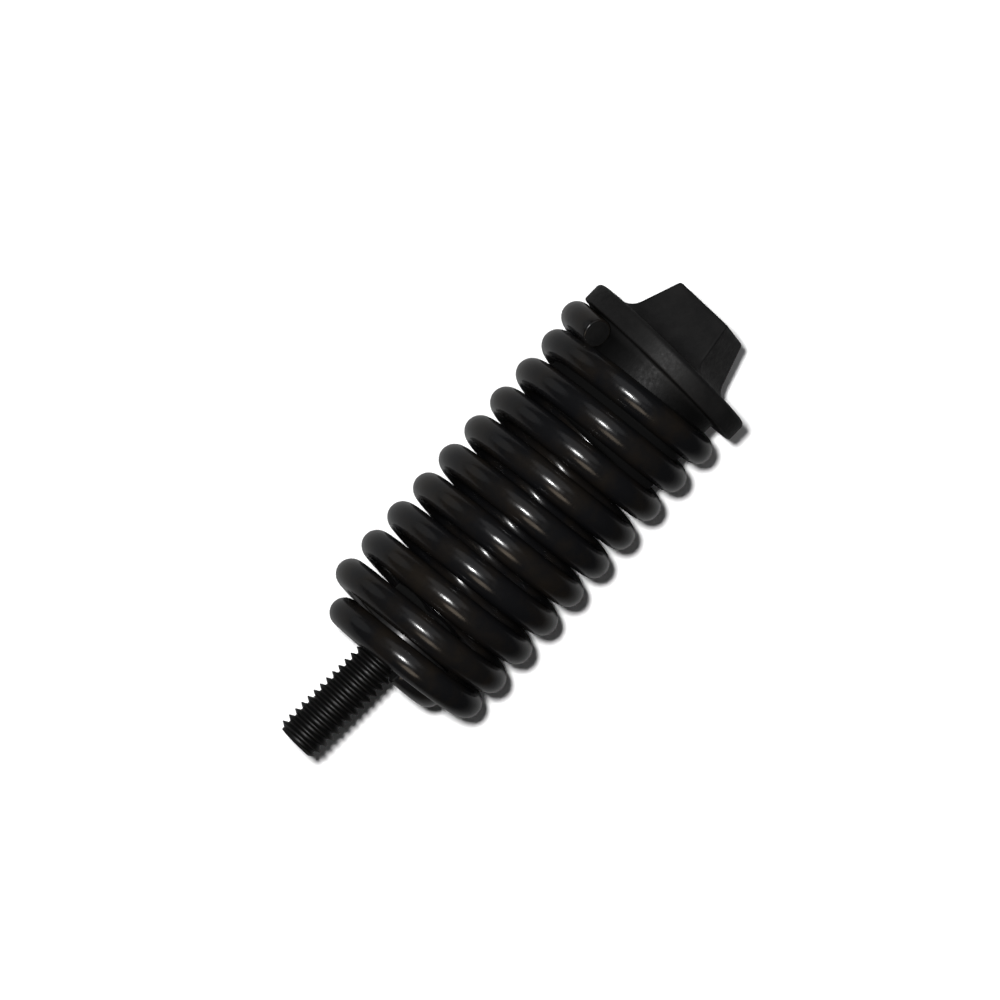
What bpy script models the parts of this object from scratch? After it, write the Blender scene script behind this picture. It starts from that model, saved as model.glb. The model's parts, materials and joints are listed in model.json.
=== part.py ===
"""Vibration dampener: a coil-spring mount with a threaded stud at one end and a plug at the other.

The mount lies along +X, from the stud's end face to the top of the plug. The origin is the
centre of the stud's end face. +Z is up. The spring is wound right-handed about an axis that
runs parallel to X; the stud leans on the closed end turn, and the plug leans on the wire's
cut end.
"""
import math

import bmesh
import bpy
from mathutils import Matrix, Vector

MM = 0.001
ASSEMBLY = "vibration_dampener"
GAP = 0.3 * MM                        # clearance kept between pieces that touch

# Spring
WIRE_D = 5.0 * MM
COIL_R = 14.0 * MM                    # wire centre to coil axis
PITCH = 6.22 * MM
COIL_AXIS = Vector((0.0, -2.42 * MM, -0.65 * MM))
COIL_START_X = 26.06 * MM             # wire centre at turn 0
COIL_LEAN = 0.0143                    # slope of the turns across the coil
POINTS_PER_TURN = 30

# Stud: 5/16-18 UNC, fully threaded, with a 1/2 in hex head
STUD_LEAN = math.radians(3.05)
THREAD_MAJOR_R = 3.94 * MM
THREAD_MINOR_R = 3.1 * MM
THREAD_PITCH = 1.411 * MM
THREAD_STEPS = 14                     # segments in one turn of thread
STUD_CHAMFER = 0.75 * MM
HEX_ACROSS_FLATS = 12.7 * MM
HEX_HEIGHT = 5.16 * MM

# Washer under the head
WASHER_R = 8.73 * MM
WASHER_HOLE_R = 4.37 * MM
WASHER_T = 1.65 * MM
SEAT_X = 23.35 * MM                   # top of the closed turn, on the coil axis

# Plug
PLUG_LEAN = math.radians(2.5)
PLUG_OFFSET_Y = -0.65 * MM            # plug axis to coil axis, at the flange
FLANGE_X = 83.79 * MM                 # underside of the flange
FLANGE_R = 16.33 * MM
FLANGE_T = 3.72 * MM
FLANGE_EDGE_R = 0.9 * MM
SHANK_R = 12.65 * MM
SHANK_LENGTH = 15.7 * MM
SHANK_CHAMFER = 0.8 * MM
BOSS_TOP = 12.76 * MM                 # above the flange's underside
BOSS_TOP_R = 7.87 * MM                # axis to corner, at the top
BOSS_TAPER = 0.38                     # growth of the corner radius per unit of depth
BOSS_FILLET_R = 3.1 * MM
BOSS_EDGE = 0.5 * MM
BOSS_TURN = math.radians(24.0)
GROOVE_TURNS = 2.8
SCREW_HOLE_R = 2.35 * MM
SCREW_HOLE_DEPTH = 21.0 * MM

# The wire's ends, as (turn, radius, axial place): the closed turn below turn 0, and the
# last turn, which flattens and spreads under the flange.
CLOSED_END = (
    (-1.7, 7.55 * MM, 20.3 * MM),
    (-1.5, 8.0 * MM, 20.5 * MM),
    (-1.0, 10.5 * MM, 20.75 * MM),
    (-0.5, 13.8 * MM, 23.45 * MM),
)
OPEN_END = (
    (8.5, 14.05 * MM, 78.9 * MM),
    (9.0, 14.7 * MM, 81.33 * MM),
    (9.125, 14.8 * MM, 81.2 * MM),
)
WIRE_FIRST_TURN = CLOSED_END[0][0]
WIRE_LAST_TURN = OPEN_END[-1][0]
BODY_TURNS = 8

# Pivot of the spring's bending, in the middle of its lower active turns
BEND_PIVOT = Vector((31.1 * MM, COIL_AXIS.y, COIL_AXIS.z))


def clear_scene():
    for item in list(bpy.data.objects):
        bpy.data.objects.remove(item, do_unlink=True)


def make_collection(name):
    collection = bpy.data.collections.new(name)
    bpy.context.scene.collection.children.link(collection)
    return collection


def make_material(name, colour, roughness, metallic):
    material = bpy.data.materials.new(name)
    material.use_nodes = True
    shader = material.node_tree.nodes["Principled BSDF"]
    shader.inputs["Base Color"].default_value = (*colour, 1.0)
    shader.inputs["Roughness"].default_value = roughness
    shader.inputs["Metallic"].default_value = metallic
    return material


def along_x(origin, lean):
    """Place a piece built along +Z so that it points along +X, leaning towards -Y."""
    turn = Matrix.Rotation(-lean, 4, "Z") @ Matrix.Rotation(math.radians(90.0), 4, "Y")
    return Matrix.Translation(origin) @ turn


def add_object(name, data, collection, matrix):
    piece = bpy.data.objects.new(name, data)
    piece.matrix_world = matrix
    collection.objects.link(piece)
    return piece


def as_cutter(piece):
    piece.hide_render = True
    piece.display_type = "WIRE"
    return piece


def shade(piece, angle_deg=30.0):
    piece.data.shade_smooth()
    piece.data.set_sharp_from_angle(angle=math.radians(angle_deg))


# ---------------------------------------------------------------- wire path

def wire_stations():
    """Turn, radius and axial place of the wire's centre at whole and half turns."""
    stations = list(CLOSED_END)
    for turn in range(BODY_TURNS + 1):
        stations.append((float(turn), COIL_R, COIL_START_X + PITCH * turn))
    stations.extend(OPEN_END)
    return stations


def hermite(stations, turn, column):
    """Smooth curve through one column of the stations."""
    last = len(stations) - 2
    span = max(i for i in range(last + 1) if stations[i][0] <= turn or i == 0)
    turn_a, turn_b = stations[span][0], stations[span + 1][0]
    width = turn_b - turn_a
    t = (turn - turn_a) / width

    def slope(index):
        before = stations[max(index - 1, 0)]
        after = stations[min(index + 1, last + 1)]
        return (after[column] - before[column]) / (after[0] - before[0])

    value_a, value_b = stations[span][column], stations[span + 1][column]
    slope_a, slope_b = slope(span) * width, slope(span + 1) * width
    return (
        value_a * (2 * t**3 - 3 * t**2 + 1)
        + slope_a * (t**3 - 2 * t**2 + t)
        + value_b * (3 * t**2 - 2 * t**3)
        + slope_b * (t**3 - t**2)
    )


def wire_point(turn, stations):
    radius = hermite(stations, turn, 1)
    axial = hermite(stations, turn, 2)
    angle = 2.0 * math.pi * turn
    across = radius * math.cos(angle)
    return COIL_AXIS + Vector((axial + COIL_LEAN * across, across, radius * math.sin(angle)))


def wire_path(first_turn, last_turn):
    stations = wire_stations()
    count = round((last_turn - first_turn) * POINTS_PER_TURN)
    step = (last_turn - first_turn) / count
    return [wire_point(first_turn + step * i, stations) for i in range(count + 1)]


def tube_mesh(name, points, radius):
    """A capped tube along the points, as one closed mesh."""
    curve = bpy.data.curves.new(name, "CURVE")
    curve.dimensions = "3D"
    curve.bevel_depth = radius
    curve.bevel_resolution = 2
    curve.use_fill_caps = True
    spline = curve.splines.new("POLY")
    spline.points.add(len(points) - 1)
    for point, place in zip(spline.points, points):
        point.co = (*place, 1.0)
    guide = bpy.data.objects.new(name + "_guide", curve)
    bpy.context.scene.collection.objects.link(guide)
    bpy.context.view_layer.update()
    evaluated = guide.evaluated_get(bpy.context.evaluated_depsgraph_get())
    mesh = bpy.data.meshes.new_from_object(evaluated)
    bpy.data.objects.remove(guide, do_unlink=True)
    shape = bmesh.new()
    shape.from_mesh(mesh)
    bmesh.ops.remove_doubles(shape, verts=shape.verts, dist=0.00001)
    bmesh.ops.recalc_face_normals(shape, faces=shape.faces)
    shape.to_mesh(mesh)
    shape.free()
    return mesh


# ---------------------------------------------------------------- solids

def turned(name, profile, collection, matrix, steps, start_angle=0.0):
    """A profile of (radius, height) points, from the top down, turned about local Z."""
    mesh = bpy.data.meshes.new(name)
    spin = Matrix.Rotation(start_angle, 3, "Z")
    points = [spin @ Vector((radius, 0.0, height)) for radius, height in profile]
    mesh.from_pydata(points, [(i, i + 1) for i in range(len(points) - 1)], [])
    piece = add_object(name, mesh, collection, matrix)
    screw = piece.modifiers.new("turn", "SCREW")
    screw.steps = steps
    screw.render_steps = steps
    screw.use_merge_vertices = True
    screw.merge_threshold = 0.00001
    return piece


def arc(centre_radius, centre_height, radius, start_deg, end_deg, count):
    """Points of an arc in a profile; 0 degrees points away from the axis."""
    points = []
    for i in range(count + 1):
        angle = math.radians(start_deg + (end_deg - start_deg) * i / count)
        points.append((
            centre_radius + radius * math.cos(angle),
            centre_height + radius * math.sin(angle),
        ))
    return points


def boolean(piece, other, operation):
    modifier = piece.modifiers.new(operation.lower() + "_" + other.name, "BOOLEAN")
    modifier.operation = operation
    modifier.solver = "EXACT"
    modifier.object = other
    return modifier


def thread_ridge(name, collection, matrix, length):
    """One helical ridge of the thread, a closed solid that sinks a little into the core."""
    crest = THREAD_PITCH / 16.0
    depth = THREAD_MAJOR_R - THREAD_MINOR_R
    sink = 0.12 * MM
    root = crest + (depth + sink) * math.tan(math.radians(30.0))
    inner, outer = THREAD_MINOR_R - sink, THREAD_MAJOR_R
    corners = ((inner, -root), (outer, -crest), (outer, crest), (inner, root))
    turns = length / THREAD_PITCH
    steps = round(turns * THREAD_STEPS)
    shape = bmesh.new()
    verts = [shape.verts.new((radius, 0.0, height)) for radius, height in corners]
    face = shape.faces.new(verts)
    bmesh.ops.spin(
        shape, geom=[face, *face.edges, *verts], cent=(0.0, 0.0, 0.0), axis=(0.0, 0.0, 1.0),
        dvec=(0.0, 0.0, length / steps), angle=2.0 * math.pi * turns, steps=steps,
        use_duplicate=False,
    )
    bmesh.ops.remove_doubles(shape, verts=shape.verts, dist=0.000001)
    bmesh.ops.recalc_face_normals(shape, faces=shape.faces)
    mesh = bpy.data.meshes.new(name)
    shape.to_mesh(mesh)
    shape.free()
    return as_cutter(add_object(name, mesh, collection, matrix))


# ---------------------------------------------------------------- pieces

def build_spring(parts, material):
    path = [point - BEND_PIVOT for point in wire_path(WIRE_FIRST_TURN, WIRE_LAST_TURN)]
    mesh = tube_mesh("coil_spring", path, WIRE_D / 2.0)
    spring = add_object("coil_spring", mesh, parts, Matrix.Translation(BEND_PIVOT))
    spring.data.materials.append(material)
    shade(spring, 60.0)
    return spring


def stud_frame():
    return along_x(Vector((0.0, 0.0, 0.0)), STUD_LEAN)


def seat_height():
    """Distance along the stud from its end face to the top of the closed turn."""
    seat_y = COIL_AXIS.y
    slope = math.tan(STUD_LEAN)
    return (SEAT_X - slope * seat_y) * math.cos(STUD_LEAN)


def build_washer(parts, material):
    base = seat_height() + GAP
    frame = stud_frame() @ Matrix.Translation((0.0, 0.0, base))
    edge = 0.2 * MM
    profile = [
        (WASHER_HOLE_R, WASHER_T),
        (WASHER_R - edge, WASHER_T),
        (WASHER_R, WASHER_T - edge),
        (WASHER_R, 0.0),
        (WASHER_HOLE_R, 0.0),
        (WASHER_HOLE_R, WASHER_T),
    ]
    washer = turned("head_washer", profile, parts, frame, 48)
    washer.data.materials.append(material)
    return washer


def build_stud(parts, tools, material):
    head_base = seat_height() + WASHER_T + 2.0 * GAP
    frame = stud_frame()
    profile = [
        (0.0, head_base + 0.5 * MM),
        (THREAD_MINOR_R, head_base + 0.5 * MM),
        (THREAD_MINOR_R, 0.35 * MM),
        (THREAD_MINOR_R - 0.35 * MM, 0.0),
        (0.0, 0.0),
    ]
    stud = turned("stud_bolt", profile, parts, frame, 28)

    ridge_frame = frame @ Matrix.Translation((0.0, 0.0, STUD_CHAMFER))
    ridge_length = head_base - STUD_CHAMFER - 0.6 * MM
    ridge = thread_ridge("thread_ridge", tools, ridge_frame, ridge_length)
    boolean(stud, ridge, "UNION")

    corner_r = HEX_ACROSS_FLATS / 2.0 / math.cos(math.radians(30.0))
    bevel = 0.5 * MM
    hexagon = [
        (0.0, head_base + HEX_HEIGHT),
        (corner_r - 2.0 * bevel, head_base + HEX_HEIGHT),
        (corner_r, head_base + HEX_HEIGHT - bevel),
        (corner_r, head_base),
        (0.0, head_base),
    ]
    head = as_cutter(turned("hex_head", hexagon, tools, frame, 6))
    boolean(stud, head, "UNION")
    stud.data.materials.append(material)
    return stud


def boss_profile():
    """Corner radius of the square boss, from its top down to the flange."""
    base_r = BOSS_TOP_R + BOSS_TAPER * (BOSS_TOP - FLANGE_T)
    side = math.atan(BOSS_TAPER)
    reach = BOSS_FILLET_R * math.tan((math.radians(90.0) - side) / 2.0)
    centre_r = base_r + reach
    centre_h = FLANGE_T + BOSS_FILLET_R
    fillet = arc(centre_r, centre_h, BOSS_FILLET_R, 180.0 + math.degrees(side), 270.0, 6)
    return [
        (0.0, BOSS_TOP),
        (BOSS_TOP_R - BOSS_EDGE, BOSS_TOP),
        (BOSS_TOP_R + BOSS_TAPER * BOSS_EDGE, BOSS_TOP - BOSS_EDGE),
        *fillet,
        (centre_r, FLANGE_T - 0.6 * MM),
        (0.0, FLANGE_T - 0.6 * MM),
    ]


def flange_profile():
    rim = arc(FLANGE_R - FLANGE_EDGE_R, FLANGE_T - FLANGE_EDGE_R, FLANGE_EDGE_R, 90.0, 0.0, 4)
    return [
        (0.0, FLANGE_T),
        *rim,
        (FLANGE_R, 0.4 * MM),
        (FLANGE_R - 0.4 * MM, 0.0),
        (SHANK_R, 0.0),
        (SHANK_R, SHANK_CHAMFER - SHANK_LENGTH),
        (SHANK_R - SHANK_CHAMFER, -SHANK_LENGTH),
        (0.0, -SHANK_LENGTH),
    ]


def build_plug(parts, tools, material):
    centre = COIL_AXIS + Vector((FLANGE_X, PLUG_OFFSET_Y, 0.0))
    frame = along_x(centre, PLUG_LEAN)
    plug = turned("end_plug", flange_profile(), parts, frame, 64)

    boss = turned("square_boss", boss_profile(), tools, frame, 4, BOSS_TURN)
    boolean(plug, as_cutter(boss), "UNION")

    groove_points = wire_path(WIRE_LAST_TURN - GROOVE_TURNS, WIRE_LAST_TURN)
    end_step = (groove_points[-1] - groove_points[-2]).normalized() * GAP
    groove_points.append(groove_points[-1] + end_step)
    groove = tube_mesh("wire_groove", groove_points, WIRE_D / 2.0 + GAP)
    boolean(plug, as_cutter(add_object("wire_groove", groove, tools, Matrix())), "DIFFERENCE")

    mouth = 0.5 * MM
    hole_profile = [
        (0.0, BOSS_TOP + 1.0 * MM),
        (SCREW_HOLE_R + mouth + 1.0 * MM, BOSS_TOP + 1.0 * MM),
        (SCREW_HOLE_R, BOSS_TOP - mouth),
        (SCREW_HOLE_R, BOSS_TOP - SCREW_HOLE_DEPTH),
        (0.0, BOSS_TOP - SCREW_HOLE_DEPTH - SCREW_HOLE_R),
    ]
    hole = turned("screw_hole", hole_profile, tools, frame, 24)
    boolean(plug, as_cutter(hole), "DIFFERENCE")
    plug.data.materials.append(material)
    return plug


def main():
    clear_scene()
    parts = make_collection(ASSEMBLY)
    tools = make_collection("cutters")
    lacquer = make_material("black_spring_lacquer", (0.016, 0.016, 0.018), 0.3, 0.0)
    oxide = make_material("black_oxide_steel", (0.02, 0.02, 0.022), 0.42, 0.8)
    washer_steel = make_material("washer_steel", (0.05, 0.05, 0.053), 0.4, 0.9)
    plastic = make_material("moulded_black_plastic", (0.02, 0.02, 0.02), 0.55, 0.0)
    build_spring(parts, lacquer)
    build_washer(parts, washer_steel)
    build_stud(parts, tools, oxide)
    build_plug(parts, tools, plastic)


main()
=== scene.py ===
"""Looks for the vibration dampener: a lacquered coil spring, a black moulded plug, a black
threaded stud with its hex head, and the washer under the head.

Everything is in metres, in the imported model's own frame: the dampener lies along +X, and +Z
points up, towards the camera.
"""
import json
import math

import bmesh
import bpy
import numpy as np
from mathutils import Matrix, Vector


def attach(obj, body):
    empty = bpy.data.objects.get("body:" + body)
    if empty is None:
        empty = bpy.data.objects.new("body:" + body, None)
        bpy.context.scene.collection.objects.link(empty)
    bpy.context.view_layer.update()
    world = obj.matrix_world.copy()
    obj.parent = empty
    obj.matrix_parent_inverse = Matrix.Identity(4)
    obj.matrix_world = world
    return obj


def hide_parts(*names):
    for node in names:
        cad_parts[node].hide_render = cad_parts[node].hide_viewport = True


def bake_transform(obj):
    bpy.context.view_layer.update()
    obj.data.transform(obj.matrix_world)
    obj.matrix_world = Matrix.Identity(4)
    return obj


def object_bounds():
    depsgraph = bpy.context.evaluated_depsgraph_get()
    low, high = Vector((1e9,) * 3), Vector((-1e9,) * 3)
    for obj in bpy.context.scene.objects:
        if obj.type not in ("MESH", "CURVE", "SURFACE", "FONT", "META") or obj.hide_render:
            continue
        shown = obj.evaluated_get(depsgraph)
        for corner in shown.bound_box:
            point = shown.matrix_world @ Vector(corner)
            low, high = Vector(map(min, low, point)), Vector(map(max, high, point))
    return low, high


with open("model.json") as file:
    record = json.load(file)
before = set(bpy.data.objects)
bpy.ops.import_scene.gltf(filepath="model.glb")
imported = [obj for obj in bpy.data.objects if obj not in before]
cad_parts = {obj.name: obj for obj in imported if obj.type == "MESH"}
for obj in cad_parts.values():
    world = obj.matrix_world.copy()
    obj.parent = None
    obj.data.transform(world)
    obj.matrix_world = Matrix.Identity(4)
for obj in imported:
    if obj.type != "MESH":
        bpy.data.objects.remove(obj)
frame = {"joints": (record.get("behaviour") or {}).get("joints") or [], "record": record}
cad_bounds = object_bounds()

MM = 0.001
TURN = 2.0 * math.pi

# Spring wire
WIRE_R = 2.5 * MM
COIL_R = 14.0 * MM
PITCH = 6.22 * MM
COIL_START_X = 26.06 * MM
COIL_LEAN = 0.0143
CLOSED_END = (
    (-1.7, 7.55 * MM, 20.3 * MM),
    (-1.5, 8.0 * MM, 20.5 * MM),
    (-1.0, 10.5 * MM, 20.75 * MM),
    (-0.5, 13.8 * MM, 23.45 * MM),
)
OPEN_END = (
    (8.5, 14.05 * MM, 78.9 * MM),
    (9.0, 14.7 * MM, 81.33 * MM),
    (9.125, 14.8 * MM, 81.2 * MM),
)
BODY_TURNS = 8
RINGS_PER_TURN = 80
WIRE_SIDES = 32
WIRE_END_ROUND = 0.35 * MM

# Where the two stretches of spring wire meet, above the closed turn
SPLIT_TURN = 2.475                      # where the two stretches of wire meet

# Stud and head
THREAD_MAJOR_R = 3.94 * MM
THREAD_PITCH = 1.411 * MM
THREAD_DEPTH = 0.84 * MM
THREAD_COLUMNS = 80
THREAD_START = -1.5                    # pitches, where the first crest begins
STUD_END_R = 3.05 * MM
HEX_ACROSS_FLATS = 12.7 * MM
HEX_HEIGHT = 5.16 * MM
SEAT_X = 23.35 * MM
GAP = 0.3 * MM

# Washer
WASHER_R = 8.73 * MM
WASHER_HOLE_R = 4.37 * MM
WASHER_T = 1.65 * MM

# Plug
PLUG_OFFSET_Y = -0.65 * MM
FLANGE_X = 83.79 * MM
FLANGE_R = 16.33 * MM
FLANGE_T = 3.72 * MM
FLANGE_EDGE_R = 0.9 * MM
SHANK_R = 12.65 * MM
SHANK_LENGTH = 15.7 * MM
BOSS_TOP = 12.76 * MM
BOSS_TOP_R = 7.87 * MM
BOSS_TAPER = 0.38
BOSS_FILLET_R = 3.1 * MM
BOSS_CORNER_R = 0.35 * MM
BOSS_TURN_DEG = 24.0
SCREW_HOLE_R = 2.35 * MM
SCREW_HOLE_DEPTH = 21.0 * MM
PLUG_COLUMNS = 480
PAINTED_SHADE_FADE = 1.2 * MM           # below the flange, moulded grey turns to near black: painted shade on the shank
DULL_SHANK_START = 6.0 * MM             # below the flange, where the shank starts to dull
DULL_SHANK_END = 9.0 * MM

# Floor: light bounced to the dampener fades out between these two lines
FLOOR_FADE_START_Y = -20.0 * MM
FLOOR_FADE_END_Y = -60.0 * MM
FLOOR_HALF_WIDTH = 2.0

# Camera: straight above, with the spring running to the upper right of the picture
CAMERA_TURN_DEG = -48.04
CAMERA_DISTANCE = 0.83
VIEW_WIDTH = 0.16167
AIM_ALONG = 51.22 * MM
AIM_ACROSS = 4.07 * MM

record = frame["record"]
joints = {joint["name"]: joint for joint in frame["joints"]}
mounts = {mount["name"]: mount for mount in record["mounts"]}
bend_pivot = Vector(joints["spring_bend"]["pos_m"])
coil_axis = Vector((0.0, bend_pivot.y, bend_pivot.z))
stud_axis = -Vector(mounts["stud_end"]["axis"]).normalized()
plug_axis = Vector(mounts["plug_shoulder"]["axis"]).normalized()


# ---------------------------------------------------------------- mesh helpers

def along(origin, direction):
    """Matrix for a piece built along +Z that should point along a direction close to +X."""
    lean = math.atan2(-direction.y, direction.x)
    turn = Matrix.Rotation(-lean, 4, "Z") @ Matrix.Rotation(math.radians(90.0), 4, "Y")
    return Matrix.Translation(origin) @ turn


def link(name, mesh):
    piece = bpy.data.objects.new(name, mesh)
    bpy.context.scene.collection.objects.link(piece)
    return piece


def shade(mesh, angle_deg):
    mesh.shade_smooth()
    mesh.set_sharp_from_angle(angle=math.radians(angle_deg))


def skin(name, rings, matrix, sharp_deg=40.0):
    """A closed solid through rings of equal point count; a ring of radius 0 becomes a point."""
    count = rings.shape[1]
    shape = bmesh.new()
    rows = []
    for ring in rings:
        if np.ptp(ring, axis=0).max() < 1e-9:
            rows.append([shape.verts.new(ring[0])] * count)
        else:
            rows.append([shape.verts.new(point) for point in ring])
    for low, high in zip(rows, rows[1:]):
        for i in range(count):
            j = (i + 1) % count
            corners = list(dict.fromkeys((low[i], low[j], high[j], high[i])))
            if len(corners) > 2:
                shape.faces.new(corners)
    for row in (rows[0], rows[-1]):
        if row[0] is not row[1]:
            shape.faces.new(row)
    bmesh.ops.recalc_face_normals(shape, faces=shape.faces)
    mesh = bpy.data.meshes.new(name)
    shape.to_mesh(mesh)
    shape.free()
    mesh.transform(matrix)
    shade(mesh, sharp_deg)
    return link(name, mesh)


def circle_ring(radius, height, angles):
    return np.stack((radius * np.cos(angles), radius * np.sin(angles),
                     np.full_like(angles, height)), axis=1)


def polar_ring(radii, heights, angles):
    heights = np.broadcast_to(heights, angles.shape)
    return np.stack((radii * np.cos(angles), radii * np.sin(angles), heights), axis=1)


def arc(centre_r, centre_h, radius, start_deg, end_deg, count):
    """Profile points on an arc; 0 degrees points away from the axis, 90 along it."""
    turns = np.radians(np.linspace(start_deg, end_deg, count + 1))
    return [(centre_r + radius * math.cos(t), centre_h + radius * math.sin(t)) for t in turns]


# ---------------------------------------------------------------- wire

def hermite(stations, turns, column):
    """Smooth curve through one column of the stations, at each of the turns."""
    keys = np.array([station[0] for station in stations])
    values = np.array([station[column] for station in stations])
    before = np.maximum(np.arange(len(keys)) - 1, 0)
    after = np.minimum(np.arange(len(keys)) + 1, len(keys) - 1)
    slopes = (values[after] - values[before]) / (keys[after] - keys[before])
    span = np.clip(np.searchsorted(keys, turns, side="right") - 1, 0, len(keys) - 2)
    width = keys[span + 1] - keys[span]
    t = (turns - keys[span]) / width
    return (
        values[span] * (2 * t**3 - 3 * t**2 + 1)
        + slopes[span] * width * (t**3 - 2 * t**2 + t)
        + values[span + 1] * (3 * t**2 - 2 * t**3)
        + slopes[span + 1] * width * (t**3 - t**2)
    )


def wire_centres(turns):
    """Centre of the wire at each of the turns, in the frame."""
    stations = list(CLOSED_END)
    stations += [(float(k), COIL_R, COIL_START_X + PITCH * k) for k in range(BODY_TURNS + 1)]
    stations += list(OPEN_END)
    radius = hermite(stations, turns, 1)
    across = radius * np.cos(TURN * turns)
    axial = hermite(stations, turns, 2) + COIL_LEAN * across
    up = radius * np.sin(TURN * turns)
    return np.stack((axial, across, up), axis=1) + np.array(coil_axis)


def wire_piece(name, turns, starts_cut, ends_cut):
    """A stretch of the wire; a cut end is rounded off, any other end meets the next stretch."""
    centres = wire_centres(turns)
    tangents = np.gradient(centres, axis=0)
    tangents /= np.linalg.norm(tangents, axis=1, keepdims=True)
    outward = centres - np.array(coil_axis)
    outward[:, 0] = 0.0
    outward -= (outward * tangents).sum(1, keepdims=True) * tangents
    outward /= np.linalg.norm(outward, axis=1, keepdims=True)
    binormal = np.cross(tangents, outward)

    sides = np.linspace(0.0, TURN, WIRE_SIDES, endpoint=False)
    radial = (outward[:, None, :] * np.cos(sides)[None, :, None]
              + binormal[:, None, :] * np.sin(sides)[None, :, None])
    rings = list(centres[:, None, :] + radial * WIRE_R)

    def rounded_end(index, direction):
        made = []
        for step in (30.0, 60.0, 90.0):
            angle = math.radians(step)
            shrink = WIRE_R - WIRE_END_ROUND * (1.0 - math.cos(angle))
            push = WIRE_END_ROUND * math.sin(angle)
            made.append(centres[index] + tangents[index] * direction * push
                        + radial[index] * shrink)
        return made

    if starts_cut:
        rings = rounded_end(0, -1.0)[::-1] + rings
    if ends_cut:
        rings = rings + rounded_end(-1, 1.0)
    piece = skin(name, np.array(rings), Matrix(), 50.0)

    # Where two stretches meet, each takes the round normals of its own end ring. The two end
    # rings lean 4.5 degrees apart, because each stretch works out its directions alone, so a
    # thin wedge is left open on the outer side of the wire.
    mesh = piece.data
    joins = []
    if not starts_cut:
        joins.append((centres[0], radial[0], np.array(rings[0])))
    if not ends_cut:
        joins.append((centres[-1], radial[-1], np.array(rings[-1])))
    normals = np.array([tuple(corner.vector) for corner in mesh.corner_normals])
    for centre, directions, ring in joins:
        for polygon in mesh.polygons:
            if len(polygon.vertices) > 4:
                continue
            if (Vector(centre) - polygon.center).length > 2.0 * WIRE_R:
                continue
            for loop_index in polygon.loop_indices:
                place = np.array(mesh.vertices[mesh.loops[loop_index].vertex_index].co)
                distance = np.linalg.norm(ring - place, axis=1)
                nearest = int(distance.argmin())
                if distance[nearest] < 1e-6:
                    normals[loop_index] = directions[nearest]
    mesh.normals_split_custom_set([tuple(normal) for normal in normals])
    return piece


def build_spring(material, cut_material):
    first, last = CLOSED_END[0][0], OPEN_END[-1][0]
    lower_count = round((SPLIT_TURN - first) * RINGS_PER_TURN)
    upper_count = round((last - SPLIT_TURN) * RINGS_PER_TURN)
    lower = wire_piece("spring_lower_turns", np.linspace(first, SPLIT_TURN, lower_count + 1),
                       True, False)
    upper = wire_piece("spring_upper_turns", np.linspace(SPLIT_TURN, last, upper_count + 1),
                       False, True)
    for piece in (lower, upper):
        piece.data.materials.append(material)
        piece.data.materials.append(cut_material)
        for polygon in piece.data.polygons:
            # only the flat ends of a stretch have more than four corners
            if len(polygon.vertices) > 4:
                polygon.material_index = 1
        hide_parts("coil_spring")

    def station(x):
        return (x, coil_axis.y, coil_axis.z)

    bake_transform(lower)
    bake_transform(upper)


# ---------------------------------------------------------------- stud, head and washer

def stud_matrix(height=0.0):
    return along(Vector((0.0, 0.0, 0.0)), stud_axis) @ Matrix.Translation((0.0, 0.0, height))


def seat_height():
    """Distance along the stud from its end face to the top of the closed turn."""
    slope = -stud_axis.y / stud_axis.x
    return (SEAT_X - slope * coil_axis.y) * stud_axis.x


def thread_profile():
    """One pitch of thread, as (place along the pitch, radius), starting at the crest."""
    crest = 1.0 / 16.0
    places = (-0.0625, -0.03, 0.03, 0.0625, 0.085, 0.15, 0.23, 0.32, 0.39,
              0.44, 0.5, 0.56, 0.61, 0.68, 0.77, 0.85, 0.915)
    profile = []
    for place in places:
        from_crest = min(abs(place), abs(1.0 - place))
        flank = max(0.0, from_crest - crest) * THREAD_PITCH / math.tan(math.radians(30.0))
        rounded = THREAD_DEPTH - 0.06 * MM * math.cos(math.pi * (from_crest - 0.5) * 4.0)
        depth = min(flank, rounded if from_crest > 0.38 else THREAD_DEPTH)
        profile.append((place, THREAD_MAJOR_R - depth))
    return profile


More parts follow.
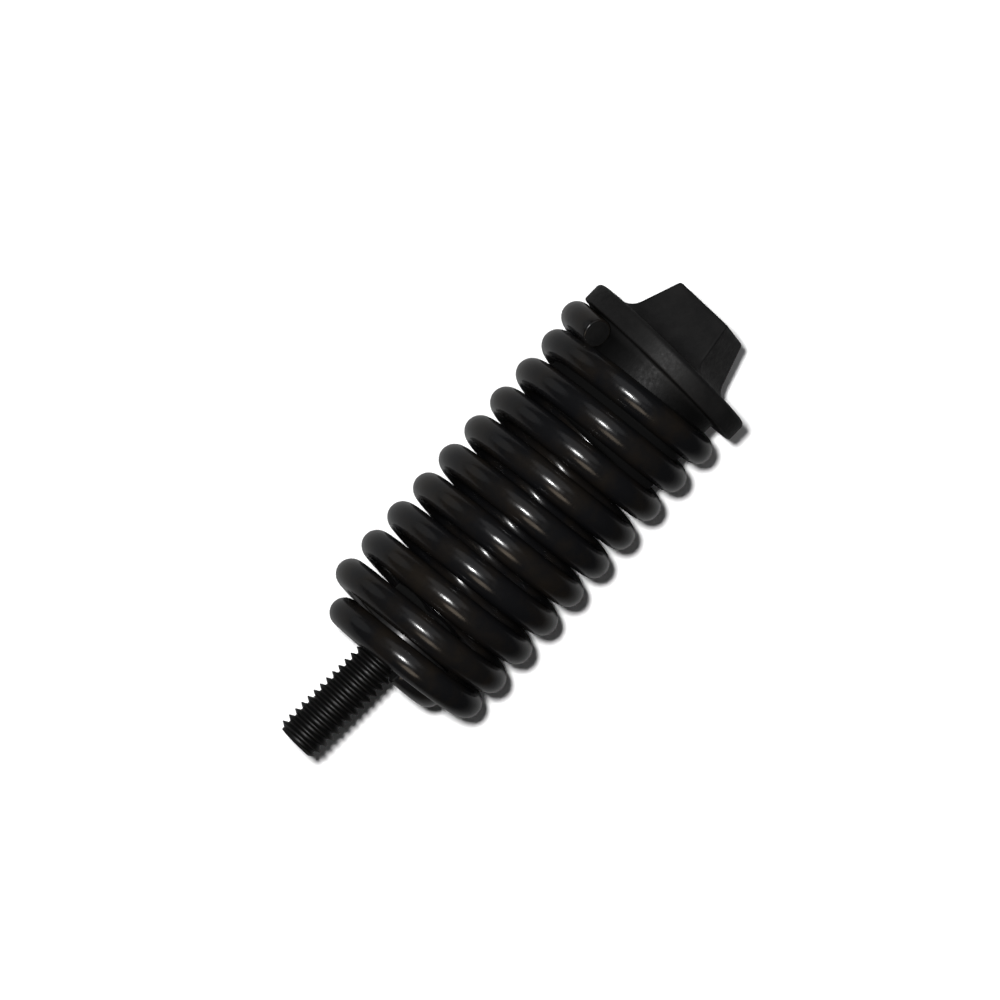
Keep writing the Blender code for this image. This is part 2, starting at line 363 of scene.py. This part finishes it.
def build_thread(length, material):
    """The threaded rod: rows of points that follow the helix, cut off flat at both ends."""
    profile = thread_profile()
    per_pitch = len(profile)
    pitches = math.ceil(length / THREAD_PITCH) + 3
    rows = per_pitch * pitches
    shape = bmesh.new()
    grid = []
    for row in range(rows):
        place, radius = profile[row % per_pitch]
        base = (row // per_pitch + place + THREAD_START) * THREAD_PITCH
        line = []
        for column in range(THREAD_COLUMNS):
            share = column / THREAD_COLUMNS
            height = base + THREAD_PITCH * share
            chamfer = STUD_END_R + max(height, 0.0) * 1.15
            r = min(radius, chamfer)
            line.append(shape.verts.new(
                (r * math.cos(TURN * share), r * math.sin(TURN * share), height)))
        grid.append(line)
    for row in range(rows - 1):
        for column in range(THREAD_COLUMNS):
            if column + 1 < THREAD_COLUMNS:
                right_low, right_high = grid[row][column + 1], grid[row + 1][column + 1]
            elif row + per_pitch + 1 < rows:
                right_low, right_high = grid[row + per_pitch][0], grid[row + per_pitch + 1][0]
            else:
                continue
            shape.faces.new((grid[row][column], right_low, right_high, grid[row + 1][column]))
    for height, normal in ((0.0, (0, 0, -1)), (length, (0, 0, 1))):
        cut = bmesh.ops.bisect_plane(
            shape, geom=[*shape.verts, *shape.edges, *shape.faces], dist=1e-8,
            plane_co=(0.0, 0.0, height), plane_no=normal, clear_outer=True)
        edges = [item for item in cut["geom_cut"] if isinstance(item, bmesh.types.BMEdge)]
        bmesh.ops.holes_fill(shape, edges=edges, sides=0)
    bmesh.ops.recalc_face_normals(shape, faces=shape.faces)
    mesh = bpy.data.meshes.new("stud_thread")
    shape.to_mesh(mesh)
    shape.free()
    mesh.transform(stud_matrix())
    shade(mesh, 32.0)
    thread = link("stud_thread", mesh)
    thread.data.materials.append(material)
    return thread


def build_head(base, material):
    """Hex head: a hexagon whose top corners are turned off by a cone, on a round bearing face."""
    angles = np.linspace(0.0, TURN, 240, endpoint=False)
    sector = math.radians(60.0)
    to_flat = np.mod(angles, sector) - sector / 2.0
    hexagon = HEX_ACROSS_FLATS / 2.0 / np.cos(to_flat)
    cone_slope = 1.0 / math.tan(math.radians(30.0))
    face_r = HEX_ACROSS_FLATS / 2.0 * 0.96
    bearing = 0.35 * MM
    rings = [circle_ring(0.0, 0.0, angles)]
    for radius, height in ((face_r - 0.1 * MM, 0.0), (face_r, 0.06 * MM), (face_r, bearing)):
        rings.append(circle_ring(radius, height, angles))
    edge = 0.12 * MM
    rings.append(polar_ring(hexagon - edge, bearing, angles))
    rings.append(polar_ring(hexagon, bearing + edge, angles))
    chamfer_depth = 1.0 * MM
    for height in HEX_HEIGHT - chamfer_depth * np.linspace(1.0, 0.0, 17):
        cone = face_r + (HEX_HEIGHT - height) * cone_slope
        rings.append(polar_ring(np.minimum(hexagon, cone), height, angles))
    rings.append(circle_ring(face_r * 0.93, HEX_HEIGHT + 0.02 * MM, angles))
    rings.append(circle_ring(0.0, HEX_HEIGHT + 0.02 * MM, angles))
    head = skin("stud_head", np.array(rings), stud_matrix(base), 22.0)
    head.data.materials.append(material)
    return head


def build_stud(material):
    base = seat_height() + WASHER_T + 2.0 * GAP
    pieces = (build_thread(base + 0.5 * MM, material), build_head(base, material))
    for piece in pieces:
        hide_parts("stud_bolt")
        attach(piece, "stud")


def build_washer(material):
    """A stamped washer: rolled over on one face, crisp on the other."""
    angles = np.linspace(0.0, TURN, 160, endpoint=False)
    roll, crisp = 0.35 * MM, 0.08 * MM
    profile = [(WASHER_HOLE_R + crisp, 0.0), (WASHER_R - crisp, 0.0)]
    profile += arc(WASHER_R - roll, WASHER_T - roll, roll, 0.0, 90.0, 5)
    profile += arc(WASHER_HOLE_R + roll, WASHER_T - roll, roll, 90.0, 180.0, 5)
    profile += [(WASHER_HOLE_R, crisp)]
    profile.insert(2, (WASHER_R, crisp))
    shape = bmesh.new()
    rows = [[shape.verts.new(point) for point in circle_ring(r, h, angles)] for r, h in profile]
    count = len(angles)
    for low, high in zip(rows, rows[1:] + rows[:1]):
        for i in range(count):
            j = (i + 1) % count
            shape.faces.new((low[i], low[j], high[j], high[i]))
    bmesh.ops.recalc_face_normals(shape, faces=shape.faces)
    mesh = bpy.data.meshes.new("washer")
    shape.to_mesh(mesh)
    shape.free()
    mesh.transform(stud_matrix(seat_height() + GAP))
    shade(mesh, 35.0)
    washer = link("washer", mesh)
    washer.data.materials.append(material)
    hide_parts("head_washer")
    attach(washer, "seat")


# ---------------------------------------------------------------- plug

def rounded_square(half_side, corner_r, angles):
    """Polar radius of a square with rounded corners; the corners are at 45 degrees."""
    quarter = math.radians(90.0)
    psi = np.abs(np.mod(angles + quarter / 2.0, quarter) - quarter / 2.0)
    inner = half_side - corner_r
    flat = half_side / np.cos(psi)
    under = np.maximum(corner_r**2 - (inner * (np.cos(psi) - np.sin(psi)))**2, 0.0)
    corner = inner * (np.cos(psi) + np.sin(psi)) + np.sqrt(under)
    return np.where(half_side * np.tan(psi) <= inner, flat, corner)


def groove_radius(height, angles, wire):
    """Radius left by the groove that the wire lies in, at one height of the shank."""
    azimuth, wire_r, wire_h = wire
    groove_r = WIRE_R + GAP
    left = np.full(angles.shape, np.inf)
    lowest, highest = azimuth[0], azimuth[-1]
    for turn in range(math.floor(lowest / TURN) - 1, math.ceil(highest / TURN) + 2):
        at = angles + turn * TURN
        inside = (at >= lowest) & (at <= highest)
        centre_r = np.interp(at, azimuth, wire_r)
        rise = height - np.interp(at, azimuth, wire_h)
        reach = groove_r**2 - rise**2
        cut = centre_r - np.sqrt(np.maximum(reach, 0.0))
        left = np.where(inside & (reach > 0.0), np.minimum(left, cut), left)
    return left


def boss_rings(angles):
    """The square nose, from the screw hole's mouth over the top and down to the flange."""
    turned = angles - math.radians(BOSS_TURN_DEG + 45.0)
    to_side = math.cos(math.radians(45.0))

    def plain_side(height):
        return (BOSS_TOP_R + BOSS_TAPER * (BOSS_TOP - height)) * to_side

    edge = 0.4 * MM
    rings = []
    mouth_r = SCREW_HOLE_R + 0.5 * MM
    top_outline = rounded_square(plain_side(BOSS_TOP) - edge * 0.8, BOSS_CORNER_R, turned)
    for share in (0.0, 0.35, 0.7, 1.0):
        rings.append(polar_ring(mouth_r + (top_outline - mouth_r) * share, BOSS_TOP, angles))
    for step in (30.0, 60.0, 80.0):
        angle = math.radians(step)
        height = BOSS_TOP - edge * (1.0 - math.cos(angle))
        side = plain_side(BOSS_TOP) - edge * 0.8 + edge * math.sin(angle) * 0.95
        rings.append(polar_ring(rounded_square(side, BOSS_CORNER_R, turned), height, angles))
    slope = math.atan(BOSS_TAPER * to_side)
    base = plain_side(FLANGE_T)
    reach = BOSS_FILLET_R * math.tan((math.radians(90.0) - slope) / 2.0)
    centre_side, centre_h = base + reach, FLANGE_T + BOSS_FILLET_R
    fillet = [
        (centre_side - BOSS_FILLET_R * math.cos(a), centre_h - BOSS_FILLET_R * math.sin(a))
        for a in np.linspace(slope, math.radians(90.0), 13)
    ]
    start_h = fillet[0][1]
    for height in np.linspace(BOSS_TOP - edge, start_h, 16)[:-1]:
        ring = rounded_square(plain_side(height), BOSS_CORNER_R, turned)
        rings.append(polar_ring(ring, height, angles))
    for side, height in fillet:
        corner_r = BOSS_CORNER_R + (side - plain_side(height))
        rings.append(polar_ring(rounded_square(side, corner_r, turned), height, angles))
    return rings


def plug_rings(angles, wire):
    hole_bottom = BOSS_TOP - SCREW_HOLE_DEPTH
    rings = [circle_ring(0.0, hole_bottom - SCREW_HOLE_R * 0.6, angles)]
    for height in np.linspace(hole_bottom, BOSS_TOP - 0.5 * MM, 12):
        rings.append(circle_ring(SCREW_HOLE_R, height, angles))
    nose = boss_rings(angles)
    rings += nose
    foot = np.linalg.norm(nose[-1][:, :2], axis=1)
    rim_r = FLANGE_R - FLANGE_EDGE_R
    for share in (0.15, 0.35, 0.6, 0.85):
        rings.append(polar_ring(foot + (rim_r - foot) * share, FLANGE_T, angles))
    rim = arc(rim_r, FLANGE_T - FLANGE_EDGE_R, FLANGE_EDGE_R, 90.0, 0.0, 8)
    low_edge = 0.35 * MM
    rim += [(FLANGE_R, FLANGE_T * 0.55), (FLANGE_R, low_edge * 1.6)]
    rim += arc(FLANGE_R - low_edge, low_edge, low_edge, 0.0, -90.0, 4)
    root = 0.4 * MM
    rim += [(SHANK_R + 1.6 * MM, 0.0)]
    rim += arc(SHANK_R + root, -root, root, 90.0, 180.0, 5)
    rings += [circle_ring(radius, height, angles) for radius, height in rim]
    foot_edge = 0.7 * MM
    for height in np.linspace(-root, foot_edge - SHANK_LENGTH, 130)[1:]:
        cut = np.minimum(SHANK_R, groove_radius(height, angles, wire))
        rings.append(polar_ring(cut, height, angles))
    for radius, height in arc(SHANK_R - foot_edge, foot_edge - SHANK_LENGTH, foot_edge,
                              0.0, -90.0, 5)[1:]:
        cut = np.minimum(radius, groove_radius(height, angles, wire))
        rings.append(polar_ring(cut, height, angles))
    rings.append(circle_ring(SHANK_R * 0.6, -SHANK_LENGTH, angles))
    rings.append(circle_ring(0.0, -SHANK_LENGTH, angles))
    return np.array(rings)


def build_plug(material):
    centre = coil_axis + Vector((FLANGE_X, PLUG_OFFSET_Y, 0.0))
    matrix = along(centre, plug_axis)
    last = OPEN_END[-1][0]
    turns = np.linspace(last - 3.6, last, 600)
    centres = wire_centres(turns)
    to_local = np.array(matrix.inverted())
    local = centres @ to_local[:3, :3].T + to_local[:3, 3]
    azimuth = np.unwrap(np.arctan2(local[:, 1], local[:, 0]))
    wire = (azimuth, np.hypot(local[:, 0], local[:, 1]), local[:, 2])
    angles = np.linspace(0.0, TURN, PLUG_COLUMNS, endpoint=False)
    plug = skin("plug", plug_rings(angles, wire), matrix, 32.0)
    plug.data.materials.append(material)
    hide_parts("end_plug")
    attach(plug, "plug")


# ---------------------------------------------------------------- materials

class Nodes:
    """A few shorthands for building one material's node tree."""

    def __init__(self, name):
        self.material = bpy.data.materials.new(name)
        self.material.use_nodes = True
        self.tree = self.material.node_tree
        self.shader = self.tree.nodes["Principled BSDF"]
        self.place = self.add("ShaderNodeTexCoord").outputs["Object"]

    def add(self, kind, **values):
        node = self.tree.nodes.new(kind)
        for key, value in values.items():
            setattr(node, key, value)
        return node

    def wire(self, output, socket):
        self.tree.links.new(output, socket)

    def noise(self, scale, detail=3.0, roughness=0.5):
        node = self.add("ShaderNodeTexNoise")
        node.inputs["Scale"].default_value = scale
        node.inputs["Detail"].default_value = detail
        node.inputs["Roughness"].default_value = roughness
        self.wire(self.place, node.inputs["Vector"])
        return node.outputs["Fac"]

    def spread(self, value, low_in, high_in, low_out, high_out):
        node = self.add("ShaderNodeMapRange")
        for socket, number in zip(node.inputs[1:5], (low_in, high_in, low_out, high_out)):
            socket.default_value = number
        self.wire(value, node.inputs[0])
        return node.outputs[0]

    def blend_colours(self, value, first, second):
        node = self.add("ShaderNodeMix", data_type="RGBA")
        for socket, colour in ((node.inputs[6], first), (node.inputs[7], second)):
            if isinstance(colour, tuple):
                socket.default_value = (*colour, 1.0)
            else:
                self.wire(colour, socket)
        self.wire(value, node.inputs[0])
        return node.outputs[2]

    def bump(self, height, distance, strength=1.0, under=None):
        node = self.add("ShaderNodeBump")
        node.inputs["Distance"].default_value = distance
        node.inputs["Strength"].default_value = strength
        self.wire(height, node.inputs["Height"])
        if under is not None:
            self.wire(under, node.inputs["Normal"])
        return node.outputs["Normal"]


def lacquer_material():
    """Gloss black lacquer over wire: faint orange peel, handling marks and a brown cast."""
    nodes = Nodes("black_spring_lacquer")
    cast = nodes.spread(nodes.noise(140.0, 4.0, 0.6), 0.42, 0.68, 0.0, 1.0)
    nodes.wire(nodes.blend_colours(cast, (0.0042, 0.0043, 0.0048), (0.0085, 0.0068, 0.0052)),
               nodes.shader.inputs["Base Color"])
    marks = nodes.spread(nodes.noise(630.0, 5.0, 0.65), 0.35, 0.7, 0.17, 0.26)
    nodes.wire(marks, nodes.shader.inputs["Roughness"])
    peel = nodes.bump(nodes.noise(800.0, 2.0), 0.00004, 0.3)
    grit = nodes.bump(nodes.noise(3400.0, 3.0, 0.7), 0.000012, 0.5, peel)
    nodes.wire(grit, nodes.shader.inputs["Normal"])
    nodes.shader.inputs["Specular IOR Level"].default_value = 0.4
    return nodes.material


def cut_end_material():
    """The sawn ends of the wire: dull black."""
    nodes = Nodes("black_wire_end")
    nodes.shader.inputs["Base Color"].default_value = (0.0022, 0.0022, 0.0022, 1.0)
    nodes.wire(nodes.spread(nodes.noise(1500.0, 3.0), 0.3, 0.7, 0.6, 0.85),
               nodes.shader.inputs["Roughness"])
    nodes.shader.inputs["Specular IOR Level"].default_value = 0.25
    return nodes.material


def oxide_material():
    """Black oxide on steel: near black, a little brighter on the thread crests, partly as rubbed
    wear and partly as a painted highlight.
    """
    nodes = Nodes("black_oxide_steel")
    geometry = nodes.add("ShaderNodeNewGeometry")
    # Crests lighter by pointiness: partly rubbed wear, partly a painted highlight on the edges.
    rubbed_and_highlit = nodes.spread(geometry.outputs["Pointiness"], 0.52, 0.6, 0.0, 1.0)
    nodes.wire(nodes.blend_colours(rubbed_and_highlit, (0.0022, 0.0022, 0.0021), (0.0095, 0.0093, 0.009)),
               nodes.shader.inputs["Base Color"])
    marks = nodes.spread(nodes.noise(1300.0, 4.0, 0.6), 0.3, 0.7, 0.38, 0.56)
    nodes.wire(marks, nodes.shader.inputs["Roughness"])
    nodes.wire(nodes.bump(nodes.noise(5200.0, 3.0, 0.6), 0.00001, 0.6),
               nodes.shader.inputs["Normal"])
    nodes.shader.inputs["Specular IOR Level"].default_value = 0.3
    return nodes.material


def washer_material():
    nodes = Nodes("washer_steel")
    tone = nodes.spread(nodes.noise(420.0, 4.0, 0.6), 0.3, 0.7, 0.0, 1.0)
    nodes.wire(nodes.blend_colours(tone, (0.03, 0.03, 0.032), (0.06, 0.058, 0.055)),
               nodes.shader.inputs["Base Color"])
    nodes.wire(nodes.spread(nodes.noise(1100.0), 0.3, 0.7, 0.3, 0.48),
               nodes.shader.inputs["Roughness"])
    nodes.wire(nodes.bump(nodes.noise(2600.0, 4.0), 0.00001, 0.6),
               nodes.shader.inputs["Normal"])
    nodes.shader.inputs["Metallic"].default_value = 0.8
    return nodes.material


def plastic_material():
    """Glass-filled black plastic: satin and finely speckled; painted shade turns the shank below
    the flange near black.
    """
    nodes = Nodes("moulded_black_plastic")
    along_axis = nodes.add("ShaderNodeSeparateXYZ")
    nodes.wire(nodes.place, along_axis.inputs[0])
    # Painted shade: below the flange the base colour fades to near black, standing in for the
    # shade on the shank between the coils.
    nose = nodes.spread(along_axis.outputs["X"], FLANGE_X - PAINTED_SHADE_FADE, FLANGE_X,
                        0.0, 1.0)
    tone = nodes.spread(nodes.noise(220.0, 5.0, 0.65), 0.35, 0.7, 0.0, 1.0)
    moulded = nodes.blend_colours(tone, (0.0044, 0.0044, 0.0045), (0.0082, 0.008, 0.0079))
    nodes.wire(nodes.blend_colours(nose, (0.0014, 0.0014, 0.0014), moulded),
               nodes.shader.inputs["Base Color"])
    deep = nodes.spread(along_axis.outputs["X"], FLANGE_X - DULL_SHANK_END,
                        FLANGE_X - DULL_SHANK_START, 0.95, 0.0)
    satin = nodes.spread(nodes.noise(1350.0, 4.0, 0.7), 0.3, 0.7, 0.45, 0.65)
    dullest = nodes.add("ShaderNodeMath", operation="MAXIMUM")
    nodes.wire(deep, dullest.inputs[0])
    nodes.wire(satin, dullest.inputs[1])
    nodes.wire(dullest.outputs[0], nodes.shader.inputs["Roughness"])
    grain = nodes.bump(nodes.noise(1600.0, 4.0, 0.7), 0.00006, 0.6)
    speckle = nodes.bump(nodes.noise(4700.0, 2.0, 0.6), 0.00002, 0.6, grain)
    nodes.wire(speckle, nodes.shader.inputs["Normal"])
    nodes.shader.inputs["Specular IOR Level"].default_value = 0.18
    return nodes.material


def floor_material():
    """A sheet that shows white. What the dampener gets back from it fades off to its right."""
    nodes = Nodes("white_paper")
    across = nodes.add("ShaderNodeSeparateXYZ")
    nodes.wire(nodes.place, across.inputs[0])
    glow = nodes.spread(across.outputs["Y"], FLOOR_FADE_END_Y, FLOOR_FADE_START_Y, 0.0, 1.0)
    returned = nodes.blend_colours(glow, (0.015, 0.015, 0.015), (0.19, 0.19, 0.19))
    path = nodes.add("ShaderNodeLightPath")
    nodes.wire(nodes.blend_colours(path.outputs["Is Camera Ray"], returned, (0.92, 0.92, 0.92)),
               nodes.shader.inputs["Base Color"])
    nodes.shader.inputs["Roughness"].default_value = 0.9
    nodes.shader.inputs["Specular IOR Level"].default_value = 0.0
    return nodes.material


# ---------------------------------------------------------------- stage, light and camera

def build_floor(height):
    shape = bmesh.new()
    bmesh.ops.create_grid(shape, x_segments=4, y_segments=4, size=FLOOR_HALF_WIDTH)
    mesh = bpy.data.meshes.new("floor")
    shape.to_mesh(mesh)
    shape.free()
    floor = link("floor", mesh)
    floor.location = (AIM_ALONG, 0.0, height)
    floor.data.materials.append(floor_material())


def add_camera():
    data = bpy.data.cameras.new("camera")
    data.sensor_width = 36.0
    data.lens = data.sensor_width * CAMERA_DISTANCE / VIEW_WIDTH
    data.clip_start = 0.01
    camera = bpy.data.objects.new("camera", data)
    bpy.context.scene.collection.objects.link(camera)
    aim = coil_axis + Vector((AIM_ALONG, AIM_ACROSS, 0.0))
    camera.location = aim + Vector((0.0, 0.0, CAMERA_DISTANCE))
    camera.rotation_euler = (0.0, 0.0, math.radians(CAMERA_TURN_DEG))
    bpy.context.scene.camera = camera
    return aim


def add_area_light(name, aim, right, up, height, size, power, colour=(1.0, 1.0, 1.0)):
    """A round light; right and up are measured in the picture, height towards the camera."""
    turn = math.radians(CAMERA_TURN_DEG)
    right_axis = Vector((math.cos(turn), math.sin(turn), 0.0))
    up_axis = Vector((-math.sin(turn), math.cos(turn), 0.0))
    data = bpy.data.lights.new(name, "AREA")
    data.shape = "DISK"
    data.size = size
    data.energy = power
    data.color = colour
    light = bpy.data.objects.new(name, data)
    bpy.context.scene.collection.objects.link(light)
    light.location = aim + right_axis * right + up_axis * up + Vector((0.0, 0.0, height))
    direction = aim - light.location
    light.rotation_euler = direction.to_track_quat("-Z", "Y").to_euler()
    return light


def build_world():
    """A dim grey room that shows as plain white behind the object."""
    world = bpy.data.worlds.new("room")
    bpy.context.scene.world = world
    world.use_nodes = True
    tree = world.node_tree
    room = tree.nodes["Background"]
    room.inputs["Color"].default_value = (1.0, 1.0, 1.0, 1.0)
    room.inputs["Strength"].default_value = 0.02
    backdrop = tree.nodes.new("ShaderNodeBackground")
    backdrop.inputs["Strength"].default_value = 0.95
    path = tree.nodes.new("ShaderNodeLightPath")
    mix = tree.nodes.new("ShaderNodeMixShader")
    tree.links.new(path.outputs["Is Camera Ray"], mix.inputs[0])
    tree.links.new(room.outputs[0], mix.inputs[1])
    tree.links.new(backdrop.outputs[0], mix.inputs[2])
    tree.links.new(mix.outputs[0], tree.nodes["World Output"].inputs["Surface"])


def build_lights(aim):
    """A lamp beside the camera, its glint, soft light at the left and end, warm light below."""
    key = add_area_light("key", aim, -0.058, 0.058, 0.83, 0.06, 9.6)
    key.visible_glossy = False
    glint = add_area_light("glint", aim, 0.012, -0.011, 0.95, 0.06, 7.2)
    glint.visible_diffuse = False
    add_area_light("left_fill", aim, -0.75, 0.68, 0.25, 0.9, 0.55, (0.96, 0.98, 1.0))
    add_area_light("end_fill", aim, 0.33, 0.44, 0.7, 0.84, 0.85, (0.98, 0.98, 1.0))
    warm = add_area_light("warm_fill", aim, -0.17, -0.6, 0.72, 0.42, 1.2, (1.0, 0.84, 0.66))
    warm.visible_diffuse = False


# ---------------------------------------------------------------- everything

aim = add_camera()
build_spring(lacquer_material(), cut_end_material())
oxide = oxide_material()
build_stud(oxide)
build_washer(washer_material())
build_plug(plastic_material())
build_floor(cad_bounds[0][2] - 0.3 * MM)
build_world()
build_lights(aim)
bpy.context.scene.view_settings.view_transform = "Standard"
